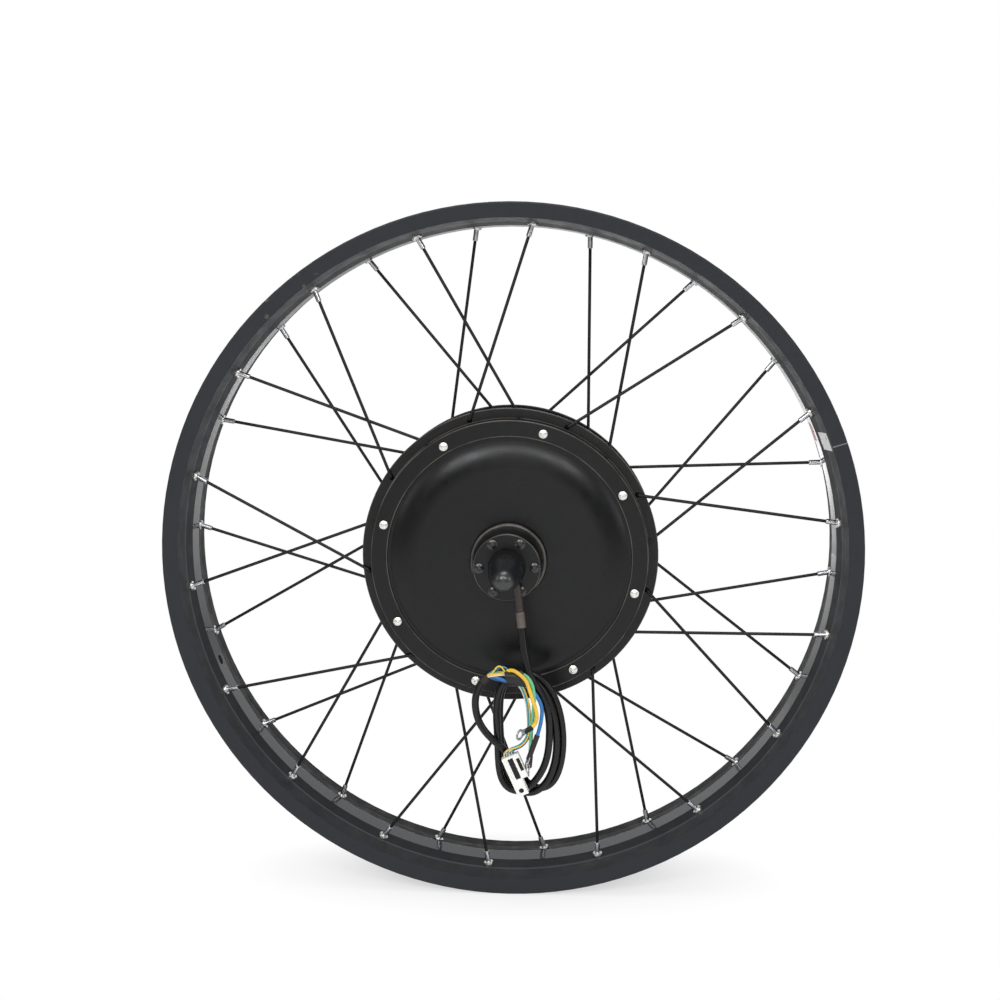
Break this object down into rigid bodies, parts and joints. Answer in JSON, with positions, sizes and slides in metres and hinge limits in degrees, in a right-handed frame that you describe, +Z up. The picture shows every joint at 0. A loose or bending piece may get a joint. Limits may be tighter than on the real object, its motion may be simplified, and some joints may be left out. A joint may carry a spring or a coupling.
{
  "type": "hub motor wheel",
  "caption": "Spoked rear bicycle wheel with a wide rim for a fat tyre, built round a direct-drive hub motor with a disc brake mount, a capped axle and a coiled motor cable.",
  "frame": {"origin": "centre of the wheel: on the axle's centre line, midway between the two dropout faces", "axes": "+Y along the axle, from the disc brake side (left) to the freewheel side (right); +Z up; +X makes the frame right-handed"},
  "size_m": [0.572, 0.259, 0.572],
  "materials": {
    "rim_black": "satin black coating",
    "spoke_black": "satin black coating",
    "nipple_silver": "bright plating",
    "eyelet_silver": "bright",
    "hub_black": "satin black coating",
    "screw_steel": "bright zinc plating",
    "bolt_black": "satin black oxide",
    "seal_rubber": "matte",
    "steel": "ground",
    "magnet_nickel": "nickel plating",
    "bearing_steel": "ground and polished",
    "cage_brass": "satin",
    "axle_steel": "turned",
    "spider_alloy": "as cast",
    "core_coated": "epoxy coated laminations",
    "copper": "enamelled copper wire",
    "board_green": "solder mask",
    "sensor_black": "moulded",
    "lead_black": "satin",
    "cable_black": "satin",
    "grommet_rubber": "matte",
    "wrap_black": "satin",
    "phase_insulation": "yellow, green and blue insulation",
    "terminal_tin": "tin plating",
    "hall_insulation": "thin insulation of several colours",
    "connector_white": "moulded nylon",
    "cap_black": "moulded"
  },
  "bodies": {
    "axle": {"axle": "axle_steel", "axle_key": "axle_steel", "left_circlip": "axle_steel", "right_spacer": "axle_steel", "left_washer": "axle_steel", "right_washer": "axle_steel", "left_nut": "axle_steel", "right_nut": "axle_steel", "stator_spider": "spider_alloy", "stator_core": "core_coated", "windings": "copper", "hall_board": "board_green", "hall_sensors": "sensor_black", "lead_bundle": "lead_black", "cable_grommet": "grommet_rubber", "left_bearing_inner": "bearing_steel", "right_bearing_inner": "bearing_steel", "motor_cable": "cable_black", "cable_coil": "cable_black", "cable_tie": "wrap_black", "phase_leads": "phase_insulation", "ring_terminals": "terminal_tin", "hall_leads": "hall_insulation", "hall_connector": "connector_white"},
    "wheel": {"rim": "rim_black", "eyelets": "eyelet_silver", "left_nipples": "nipple_silver", "right_nipples": "nipple_silver", "left_outer_spokes": "spoke_black", "left_inner_spokes": "spoke_black", "right_outer_spokes": "spoke_black", "right_inner_spokes": "spoke_black", "hub_shell": "hub_black", "left_cover": "hub_black", "right_cover": "hub_black", "left_cover_screws": "screw_steel", "right_cover_screws": "screw_steel", "disc_bolts": "bolt_black", "left_seal": "seal_rubber", "right_seal": "seal_rubber", "flux_ring": "steel", "magnets": "magnet_nickel", "left_bearing_outer": "bearing_steel", "right_bearing_outer": "bearing_steel"},
    "left_bearing_set": {"left_bearing_balls": "bearing_steel", "left_bearing_cage": "cage_brass"},
    "right_bearing_set": {"right_bearing_balls": "bearing_steel", "right_bearing_cage": "cage_brass"},
    "left_cap": {"left_axle_cap": "cap_black"},
    "right_cap": {"right_axle_cap": "cap_black"}
  },
  "joints": [
    {"name": "wheel_spin", "type": "hinge", "parent": "axle", "child": "wheel", "pos_m": [0, 0, 0], "axis": [0, 1, 0], "continuous": true},
    {"name": "left_bearing_spin", "type": "hinge", "parent": "axle", "child": "left_bearing_set", "pos_m": [0, -0.044, 0], "axis": [0, 1, 0], "continuous": true},
    {"name": "right_bearing_spin", "type": "hinge", "parent": "axle", "child": "right_bearing_set", "pos_m": [0, 0.044, 0], "axis": [0, 1, 0], "continuous": true},
    {"name": "left_cap_pull", "type": "slide", "parent": "axle", "child": "left_cap", "axis": [0, -1, 0], "range_m": [0, 0.04]},
    {"name": "right_cap_pull", "type": "slide", "parent": "axle", "child": "right_cap", "axis": [0, 1, 0], "range_m": [0, 0.04]}
  ],
  "couplings": [
    {"joint": "left_bearing_spin", "follows": "wheel_spin", "ratio": 0.60323},
    {"joint": "right_bearing_spin", "follows": "wheel_spin", "ratio": 0.60323}
  ]
}
